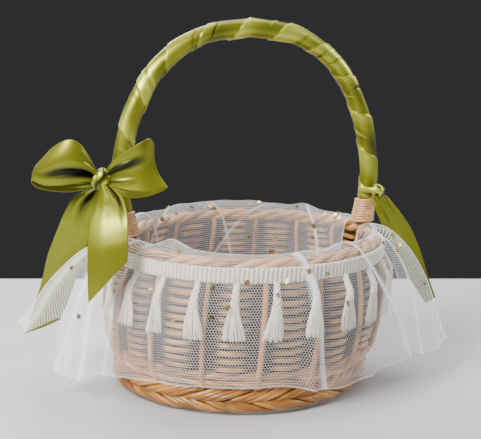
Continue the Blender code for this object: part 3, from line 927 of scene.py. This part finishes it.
def make_tie():
    centre = front(0.1245, 0.0215, 0.1742)
    knot("tie_centre_knot", ["tie_knot"], centre, (0.0066, 0.0062, 0.0072), radians(-15))
    leg = leg_point(1, 0.1750)
    binding("tie_binding", leg, Vector((centre.x, centre.y, leg.z)), leg.z, 0.0026)
    ribbon(
        "tie_wide_tail",
        (
            ((0.1201, 0.0208, 0.1721), (0.1278, 0.0208, 0.1741)),
            ((0.1230, 0.0188, 0.1607), (0.1391, 0.0238, 0.1637)),
            ((0.1292, 0.0258, 0.1425), (0.1564, 0.0308, 0.1415)),
            ((0.1413, 0.0312, 0.1204), (0.1713, 0.0353, 0.1144)),
            ((0.1585, 0.0339, 0.0925), (0.1822, 0.0360, 0.0879)),
            ((0.1828, 0.0328, 0.0591), (0.1925, 0.0346, 0.0648)),
        ),
        ["tie_tail_wide"],
        folds=1.5,
        depth=0.0016,
        fade=0.14,
        phase=0.3,
        creases=((0.25, 0.1, 0.08, 0.0030, 0.5),),
    )
    ribbon(
        "tie_narrow_tail",
        (
            ((0.1172, 0.0128, 0.1696), (0.1230, 0.0128, 0.1705)),
            ((0.1209, 0.0098, 0.1603), (0.1278, 0.0108, 0.1621)),
            ((0.1239, 0.0088, 0.1527), (0.1307, 0.0098, 0.1554)),
        ),
        ["tie_tail_narrow"],
        depth=0.0008,
        rows=40,
    )


# ---------------------------------------------------------------- tulle

# the net's line across the rim as (radius, height), from its inner hem to its outer hem
TULLE_LINE = (
    (0.0960, 0.0450),
    (0.1010, 0.0700),
    (0.1040, 0.1000),
    (0.1060, 0.1250),
    (0.1085, 0.1385),
    (0.1175, 0.1430),
    (0.1265, 0.1395),
    (0.1315, 0.1300),
    (0.1375, 0.1150),
    (0.1425, 0.0950),
    (0.1440, 0.0750),
    (0.1450, 0.0500),
    (0.1470, 0.0300),
)
RIM_SHARE = 5 / 12
END_ANGLE = radians(8.0)
# how far a skirt's hem is pulled (across, away, up) at these shares of the way round it
FRONT_HEM = (
    (0.000, (-0.0800, 0.0332, 0.0284)),
    (0.025, (-0.0758, 0.0368, 0.0195)),
    (0.055, (-0.0472, 0.0369, 0.0369)),
    (0.085, (-0.0574, 0.0261, -0.0058)),
    (0.115, (-0.0415, 0.0195, -0.0096)),
    (0.145, (-0.0294, 0.0178, 0.0004)),
    (0.180, (-0.0125, 0.0046, 0.0035)),
    (0.220, (-0.0016, -0.0022, 0.0045)),
    (0.420, (0.0000, 0.0000, 0.0060)),
    (0.610, (0.0004, -0.0030, -0.0027)),
    (0.690, (0.0113, 0.0077, 0.0011)),
    (0.765, (0.0286, 0.0137, 0.0026)),
    (0.800, (0.0162, 0.0123, 0.0064)),
    (0.870, (0.0316, 0.0045, -0.0030)),
    (0.940, (0.0466, -0.0088, -0.0012)),
    (1.000, (0.0564, -0.0221, 0.0032)),
)
BACK_HEM = (
    (0.000, (0.0060, 0.0200, 0.0000)),
    (0.250, (0.0000, 0.0000, 0.0000)),
    (0.750, (0.0000, 0.0000, 0.0000)),
    (1.000, (-0.0200, 0.0080, 0.0000)),
)


def hem_pull(hem, across):
    """Reads a hem's pull at a share of the way round, eased between its points."""
    for (low, first), (high, second) in zip(hem, hem[1:]):
        if across <= high:
            return Vector(first).lerp(Vector(second), ease((across - low) / (high - low)))
    return Vector(hem[-1][1])


def tulle_sheet(
    name,
    first_angle,
    hem,
    lift,
    pleats,
    humps,
    edges,
    inner_edges,
    replaces,
    seed,
    lining,
):
    """A length of net over the rim: a lining inside, a skirt outside that flares at its ends.
    Pleats and humps are (share across, half width, size). Edges and inner edges are the lines where
    the net lies double, outside and inside: (share across at the rim, share across at the hem, half
    width, how dense). Lining is how dense the net looks inside the basket."""
    chance = random.Random(seed)
    columns, rows = 420, 132
    line = smooth_line([Vector((r, 0, z)) for r, z in TULLE_LINE], rows // (len(TULLE_LINE) - 1))
    waves = []
    for unused in range(6):
        waves.append((chance.uniform(7, 26), chance.uniform(0, 2 * pi), chance.uniform(0.4, 1.0)))
    span = pi - 2 * END_ANGLE

    def reach(v):
        """How far down the skirt a row is, and how far down the lining, each as a share."""
        return max(v - RIM_SHARE, 0) / (1 - RIM_SHARE), max(RIM_SHARE - v, 0) / RIM_SHARE

    def shape(u, v):
        angle = first_angle + u * span
        row = line[round(v * rows)]
        radius, height = row.x, row.z
        down, inside = reach(v)
        ripple = sum(size * sin(rate * angle + phase + 0.8 * down) for rate, phase, size in waves)
        radius += 0.0007 * ripple * down + 0.0005 * abs(ripple) * down
        radius -= 0.0012 * abs(ripple) * inside
        for centre, width, size in pleats:
            radius += size * bell(u, centre + 0.05 * (centre - 0.5) * down, width) * down**0.8
        point = polar(radius, angle, height) + front(*(hem_pull(hem, u) * down))
        middle = ease(1 - abs(u - 0.5) * 2.6)
        crest = ease(1 - abs(v - RIM_SHARE) * 4.0)
        point.z += lift * middle * crest
        for centre, width, size in humps:
            point.z += size * bell(u, centre, width) * crest
        point.z += 0.0012 * sin(9 * angle + seed) * down + 0.0008 * ripple * crest * 0.6
        return point

    def double(u, v):
        """How dense the net looks where it lies double, at its hems and folded edges, where its painted glow
        is brighter too.
        """
        value = 0.8 if min(v, 1 - v) < 0.006 or min(u, 1 - u) < 0.004 else 0.0
        value = max(value, 0.45 * bell(v, RIM_SHARE + 0.01, 0.010))
        down, inside = reach(v)
        for lines, share in ((edges, down), (inner_edges, inside)):
            for start, end, width, dense in lines:
                if share > 0.01:
                    value = max(value, dense * bell(u, start + (end - start) * share, width))
        return value

    across, along = [0.0], [0.0]
    for i in range(columns):
        across.append(across[-1] + (shape((i + 1) / columns, 0.85) - shape(i / columns, 0.85)).length)
    for i in range(rows):
        along.append(along[-1] + (shape(0.4, (i + 1) / rows) - shape(0.4, i / rows)).length)

    def fullness(u, v):
        """How dense the net looks elsewhere: gathered towards its loose ends, where its painted glow is
        brighter too.
        """
        return 1.0 + 1.1 * ease((abs(u - 0.45) - 0.30) / 0.06) if v > RIM_SHARE else lining

    bm = begin()
    patch(bm, columns, rows, shape, hem=double, tone=fullness)
    layer = bm.loops.layers.uv.active
    for face in bm.faces:
        for loop in face.loops:
            u, v = loop[layer].uv
            loop[layer].uv = (across[round(u * columns)], along[round(v * rows)])
    made = piece(name, bm, net(f"{name}_net"), replaces=replaces, closed=False, smooth=180)
    spangles = scatter_spangles(f"{name}_spangles", shape, seed)


def star_outline(size):
    """Five points, with hollows between them."""
    reaches = (size, size * 0.42) * 5
    return [polar(reach, pi / 2 - 2 * pi * k / 10, 0) for k, reach in enumerate(reaches)]


def dot_outline(size):
    return [polar(size, pi / 2 - 2 * pi * k / 14, 0) for k in range(14)]


def scatter_spangles(name, surface, seed):
    """Gold foil stars and dots stuck to the net, each a little askew."""
    chance = random.Random(seed * 7 + 1)
    bm = begin()
    for unused in range(SPANGLES):
        u, v = chance.uniform(0.02, 0.98), chance.uniform(0.05, 0.97)
        here = surface(u, v)
        step = 0.008
        along = (surface(min(u + step, 1), v) - surface(max(u - step, 0), v)).normalized()
        other = (surface(u, min(v + 2 * step, 1)) - surface(u, max(v - 2 * step, 0))).normalized()
        normal = along.cross(other).normalized()
        outward = Vector((here.x, here.y, 0.02)).normalized() * (1 if v > RIM_SHARE else -1)
        if normal.dot(outward) < 0:
            normal = -normal
        turn = chance.uniform(0, 2 * pi)
        side = (along * cos(turn) + normal.cross(along) * sin(turn)).normalized()
        askew = Vector([chance.uniform(-0.3, 0.3) for axis in range(3)])
        normal = (normal + askew).normalized()
        side = (side - normal * side.dot(normal)).normalized()
        up = normal.cross(side)
        size = chance.uniform(SPANGLE_SMALL, SPANGLE_LARGE)
        outline = star_outline(size) if chance.random() < 0.62 else dot_outline(size * 0.72)
        verts = [bm.verts.new(here + normal * 0.0010 + side * p.x + up * p.y) for p in outline]
        face = bm.faces.new(verts)
        raised = bmesh.ops.extrude_face_region(bm, geom=[face])["geom"]
        moved = [g for g in raised if isinstance(g, bmesh.types.BMVert)]
        bmesh.ops.translate(bm, verts=moved, vec=normal * SPANGLE_THICKNESS)
    return piece(name, bm, GOLD, smooth=20)


def make_tulle():
    tulle_sheet(
        "tulle_over_front",
        first_angle=-pi + END_ANGLE,
        hem=FRONT_HEM,
        lift=0.0,
        pleats=((0.30, 0.020, 0.003), (0.42, 0.03, 0.002), (0.535, 0.014, 0.006), (0.66, 0.012, 0.004)),
        humps=((0.18, 0.05, 0.009), (0.66, 0.05, 0.004)),
        edges=(
            (0.012, 0.018, 0.008, 0.5),
            (0.030, 0.086, 0.006, 0.9),
            (0.045, 0.100, 0.003, 0.5),
            (0.062, 0.116, 0.0035, 1.0),
            (0.100, 0.150, 0.004, 0.5),
            (0.500, 0.568, 0.009, 0.6),
            (0.506, 0.574, 0.003, 1.0),
            (0.665, 0.765, 0.0042, 1.1),
            (0.84, 0.86, 0.006, 0.8),
            (0.930, 0.945, 0.006, 0.8),
            (0.985, 0.985, 0.005, 1.0),
        ),
        inner_edges=((0.10, 0.16, 0.004, 0.6), (0.66, 0.60, 0.004, 0.6)),
        replaces=["tulle_front"],
        seed=3,
        lining=1.0,
    )
    tulle_sheet(
        "tulle_over_back",
        first_angle=END_ANGLE,
        hem=BACK_HEM,
        lift=0.006,
        pleats=(
            (0.10, 0.022, 0.007),
            (0.30, 0.02, 0.005),
            (0.545, 0.06, 0.003),
            (0.62, 0.02, 0.005),
            (0.88, 0.022, 0.008),
        ),
        humps=((0.22, 0.04, 0.003), (0.80, 0.05, 0.004)),
        edges=((0.12, 0.10, 0.004, 0.8), (0.52, 0.50, 0.003, 0.5), (0.87, 0.90, 0.004, 0.8)),
        inner_edges=(
            (0.30, 0.62, 0.003, 0.8),
            (0.52, 0.40, 0.004, 0.5),
            (0.66, 0.95, 0.003, 0.8),
            (0.20, 0.05, 0.006, 0.7),
            (0.80, 0.70, 0.005, 0.5),
        ),
        replaces=["tulle_back"],
        seed=8,
        lining=1.25,
    )


# ---------------------------------------------------------------- braid band and tassels


def make_band():
    """Crochet braid: upright ribs between two looped edges, with painted shade between the ribs."""
    ribs = 200

    middle, half = (BAND_LOW + BAND_HIGH) / 2, (BAND_HIGH - BAND_LOW) / 2

    def shape(u, v):
        angle, turn = 2 * pi * u, 2 * pi * v
        rib = abs(sin(ribs * angle / 2)) ** 0.7
        scallop = 0.0006 * abs(sin(ribs * angle / 4))
        out = cos(turn)
        flat_lift = max(min(sin(turn) * 1.25, 1), -1)
        ridge = 0.0007 * bell(abs(flat_lift), 0.86, 0.12) if out > 0 else 0
        radius = BAND_MIDDLE + (0.0005 + 0.0013 * rib) * out + ridge
        return polar(radius, angle, middle + (half + scallop) * flat_lift)

    bm = begin()
    patch(bm, ribs * 6, 18, shape, crown=lambda u, v: abs(sin(ribs * pi * u)) ** 0.7)
    piece("crochet_band", bm, COTTON, replaces=["trim_band"], smooth=180)


def make_tassel(number):
    """A corded neck, a collar and a skirt of loose threads, hung from the band."""
    chance = random.Random(100 + number)
    angle = 2 * pi * (number + 0.5) / TASSELS
    out, side = polar(1, angle, 0), polar(1, angle + pi / 2, 0)
    pivot = polar(TASSEL_PIVOT_RADIUS, angle, TASSEL_PIVOT_Z)

    def place(across, shift, drop):
        return pivot + side * across + out * shift - UP * drop

    above = 0.0015
    bm = begin()
    for strand in range(3):
        line = []
        for i in range(25):
            share = i / 24
            twist = 2 * pi * (strand / 3 + 1.6 * share)
            drop = -above + (TASSEL_NECK + above) * share
            shift = 0.0008 + 0.0074 * ease(share * 1.2)
            wide = 0.0012 + 0.0012 * share
            line.append(place(wide * cos(twist), shift + 0.0011 * sin(twist), drop))
        rod(bm, line, lambda u: 0.0014 + 0.0006 * u, 6, 0.5, reference=out)

    def collar(turn):
        return place(0.0040 * cos(turn), 0.0082 + 0.0024 * sin(turn), TASSEL_NECK + 0.0002)

    rod(bm, ring(24, collar), 0.0008, 6, 0.5, closed=True)

    sway = chance.uniform(-0.0028, 0.0028)
    skirt = chance.uniform(0.0080, 0.0104)
    for thread in range(TASSEL_THREADS):
        turn = 2 * pi * (thread / TASSEL_THREADS) + chance.uniform(-0.08, 0.08)
        fill = 1.0 if thread % 3 else chance.uniform(0.3, 0.8)
        length = TASSEL_LENGTH + chance.uniform(-0.0022, 0.0012)
        curl = chance.uniform(-0.0012, 0.0012)
        line = []
        for i in range(9):
            share = i / 8
            open_out = 0.0036 + (skirt * fill - 0.0036) * ease(share * 0.9) ** 0.8
            across = open_out * cos(turn) + sway * share**1.5 + curl * sin(3 * share)
            shift = 0.0085 + (0.0018 + 0.0012 * share) * fill * sin(turn)
            line.append(place(across, shift, TASSEL_NECK + (length - TASSEL_NECK) * share))
        rod(bm, line, lambda u: THREAD_RADIUS * (1 - 0.55 * u**6), 4, chance.random(), reference=out)
    name = f"tassel_{number + 1:02d}"
    piece(f"{name}_threads", bm, COTTON, name, [name], smooth=180)


# ---------------------------------------------------------------- carried-over pieces and stage


def finish_carried_nodes():
    """The frame's own pieces that stay in sight get their wood and cane."""
    finishes = {"handle_core": WOOD, "handle_peg_left": CANE, "handle_peg_right": CANE}
    for name, finish in finishes.items():
        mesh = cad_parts[name].data
        mesh.materials.clear()
        mesh.materials.append(finish)


def make_stage():
    """A plain pale table top, just under the basket's foot."""
    finish = Finish("table_top", 0.55)
    finish.paint(finish.mix(finish.noise(6.0, 3.0), (0.52, 0.535, 0.545), (0.58, 0.595, 0.605)))
    bm = bmesh.new()
    bmesh.ops.create_grid(bm, x_segments=1, y_segments=1, size=0.5)
    for vert in bm.verts:
        away = TABLE_FAR if vert.co.y > 0 else TABLE_NEAR
        vert.co = front(vert.co.x * 2 * TABLE_SIDE, away, -0.0005)
    mesh = bpy.data.meshes.new("table_top")
    bm.to_mesh(mesh)
    bm.free()
    mesh.materials.append(finish.material)
    table = bpy.data.objects.new("table_top", mesh)
    bpy.context.scene.collection.objects.link(table)


def make_lights():
    """Four soft boxes in a grey studio, darker where it is seen behind the basket."""
    world = bpy.data.worlds.new("studio")
    bpy.context.scene.world = world
    world.use_nodes = True
    tree = world.node_tree
    seen = Value(tree, node(tree, "ShaderNodeLightPath").outputs["Is Camera Ray"])
    backdrop = tree.nodes["Background"]
    plug(tree, backdrop.inputs["Color"], mix_colours(tree, seen, (0.40, 0.42, 0.46), (0.060, 0.061, 0.066)))
    backdrop.inputs["Strength"].default_value = 0.55

    for name, place, size, power, tint in (
        ("key_softbox", (-0.75, -0.85, 1.10), 0.55, 44, (1.0, 0.98, 0.95)),
        ("top_softbox", (0.1, 0.3, 1.4), 1.0, 12, (1.0, 1.0, 1.0)),
        ("rim_softbox", (1.2, 0.3, 0.8), 0.4, 10, (0.95, 0.98, 1.0)),
        ("back_softbox", (-0.5, 1.2, 0.9), 0.8, 14, (1.0, 1.0, 1.0)),
    ):
        data = bpy.data.lights.new(name, "AREA")
        data.size = size
        data.energy = power
        data.color = tint
        lamp = bpy.data.objects.new(name, data)
        lamp.location = front(*place)
        lamp.rotation_euler = (front(0, 0, 0.12) - lamp.location).to_track_quat("-Z", "Y").to_euler()
        bpy.context.scene.collection.objects.link(lamp)


def make_camera():
    """Looks slightly down on the bow's side."""
    data = bpy.data.cameras.new("camera")
    data.lens = 80.0
    data.sensor_width = 36.0
    camera = bpy.data.objects.new("camera", data)
    camera.location = front(0.0015, -1.0, 0.345)
    target = front(0.0015, 0, 0.151)
    camera.rotation_euler = (target - camera.location).to_track_quat("-Z", "Y").to_euler()
    bpy.context.scene.collection.objects.link(camera)
    bpy.context.scene.camera = camera


def main():
    make_camera()
    make_lights()
    make_stage()
    make_foot_and_waling()
    make_weavers()
    make_gap_shadow_sheet()
    make_stakes_and_border()
    make_base()
    make_ribbon_wrap()
    make_lappings()
    make_bow()
    make_tie()
    make_tulle()
    make_band()
    for number in range(TASSELS):
        make_tassel(number)
    finish_carried_nodes()


main()
bpy.context.view_layer.update()
